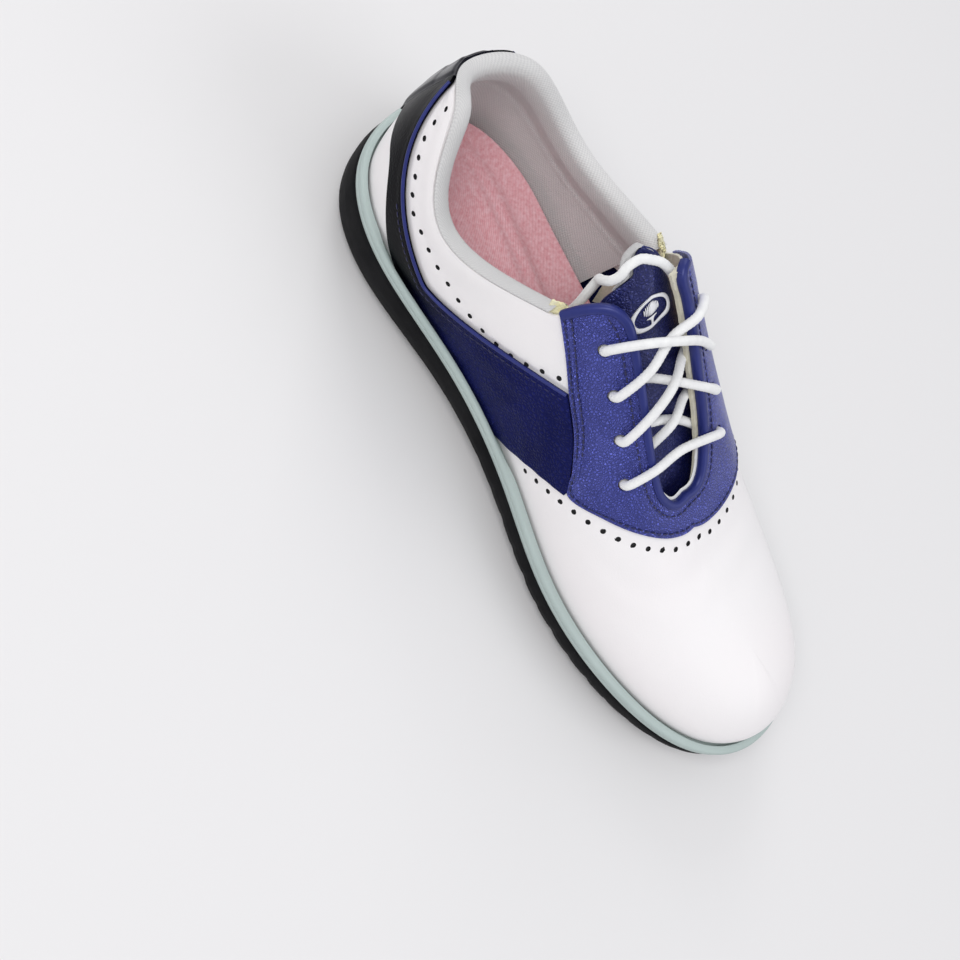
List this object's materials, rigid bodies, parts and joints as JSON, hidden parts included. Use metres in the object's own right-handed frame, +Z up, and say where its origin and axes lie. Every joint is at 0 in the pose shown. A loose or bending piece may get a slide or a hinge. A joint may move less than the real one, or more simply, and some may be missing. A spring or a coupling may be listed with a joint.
{
  "type": "golf shoe",
  "caption": "Right women's golf shoe in saddle pattern: white leather upper, navy lace saddle and side band, padded collar, removable footbed and soft spikes that twist in their sockets.",
  "frame": {"origin": "on the ground, under the middle of the sole's box", "axes": "+X from heel to toe, +Y to the inner (medial) side of the foot, +Z up"},
  "size_m": [0.2725, 0.0969, 0.1094],
  "materials": {
    "outsole_rubber": "moulded, matt",
    "midsole_foam": "painted foam, pale grey-green",
    "filler_felt": "felt",
    "shank_steel": "spring steel strip",
    "board_fibre": "fibre board",
    "footbed_fabric": "dusty pink heathered cloth",
    "socket_plastic": "moulded",
    "cleat_plastic": "moulded, slightly glossy",
    "white_leather": "smooth, semi-gloss",
    "navy_leather": "pebble grain with a metallic sheen",
    "navy_binding": "smooth narrow binding",
    "navy_gloss": "glossy",
    "counter_board": "stiff sheet",
    "lining_grey": "fine mesh",
    "facing_cream": "foam-backed cloth, raw edge",
    "collar_foam": "open-cell foam",
    "badge_thread": "satin-stitch embroidery",
    "lace_white": "round braid",
    "aglet_clear": "clear film"
  },
  "bodies": {
    "shoe": {"outsole": "outsole_rubber", "midsole": "midsole_foam", "bottom_filler": "filler_felt", "shank": "shank_steel", "lasting_board": "board_fibre", "footbed": "footbed_fabric", "cleat_sockets": "socket_plastic", "vamp": "white_leather", "toe_puff": "counter_board", "vamp_lining": "lining_grey", "saddle": "navy_leather", "throat_binding": "navy_binding", "facing_lining_lateral": "facing_cream", "facing_lining_medial": "facing_cream", "side_band_lateral": "navy_leather", "side_band_medial": "navy_leather", "quarter_lateral": "white_leather", "quarter_medial": "white_leather", "heel_panel_lateral": "white_leather", "heel_panel_medial": "white_leather", "heel_tab": "navy_gloss", "heel_counter": "counter_board", "collar_foam": "collar_foam", "collar_lining": "lining_grey", "lace": "lace_white", "lace_end_lateral": "lace_white", "lace_end_medial": "lace_white", "aglet_lateral": "aglet_clear", "aglet_medial": "aglet_clear"},
    "tongue": {"tongue_leather": "navy_leather", "tongue_lining": "lining_grey", "tongue_patch": "badge_thread"},
    "cleat_1": {"cleat_1": "cleat_plastic"},
    "cleat_2": {"cleat_2": "cleat_plastic"},
    "cleat_3": {"cleat_3": "cleat_plastic"},
    "cleat_4": {"cleat_4": "cleat_plastic"},
    "cleat_5": {"cleat_5": "cleat_plastic"},
    "cleat_6": {"cleat_6": "cleat_plastic"},
    "cleat_7": {"cleat_7": "cleat_plastic"}
  },
  "joints": [
    {"name": "tongue_tilt", "type": "hinge", "parent": "shoe", "child": "tongue", "pos_m": [0.034, -0.006, 0.048], "axis": [0, -1, 0], "range_deg": [0, 2.5]},
    {"name": "cleat_1_twist", "type": "hinge", "parent": "shoe", "child": "cleat_1", "pos_m": [0.034, -0.029, 0.003], "axis": [0, 0, 1], "range_deg": [0, 90]},
    {"name": "cleat_2_twist", "type": "hinge", "parent": "shoe", "child": "cleat_2", "pos_m": [0.072, -0.027, 0.003], "axis": [0, 0, 1], "range_deg": [0, 90]},
    {"name": "cleat_3_twist", "type": "hinge", "parent": "shoe", "child": "cleat_3", "pos_m": [0.098, 0.001, 0.003], "axis": [0, 0, 1], "range_deg": [0, 90]},
    {"name": "cleat_4_twist", "type": "hinge", "parent": "shoe", "child": "cleat_4", "pos_m": [0.064, 0.027, 0.003], "axis": [0, 0, 1], "range_deg": [0, 90]},
    {"name": "cleat_5_twist", "type": "hinge", "parent": "shoe", "child": "cleat_5", "pos_m": [0.024, 0.024, 0.003], "axis": [0, 0, 1], "range_deg": [0, 90]},
    {"name": "cleat_6_twist", "type": "hinge", "parent": "shoe", "child": "cleat_6", "pos_m": [-0.1, -0.022, 0.003], "axis": [0, 0, 1], "range_deg": [0, 90]},
    {"name": "cleat_7_twist", "type": "hinge", "parent": "shoe", "child": "cleat_7", "pos_m": [-0.1, 0.014, 0.003], "axis": [0, 0, 1], "range_deg": [0, 90]}
  ]
}
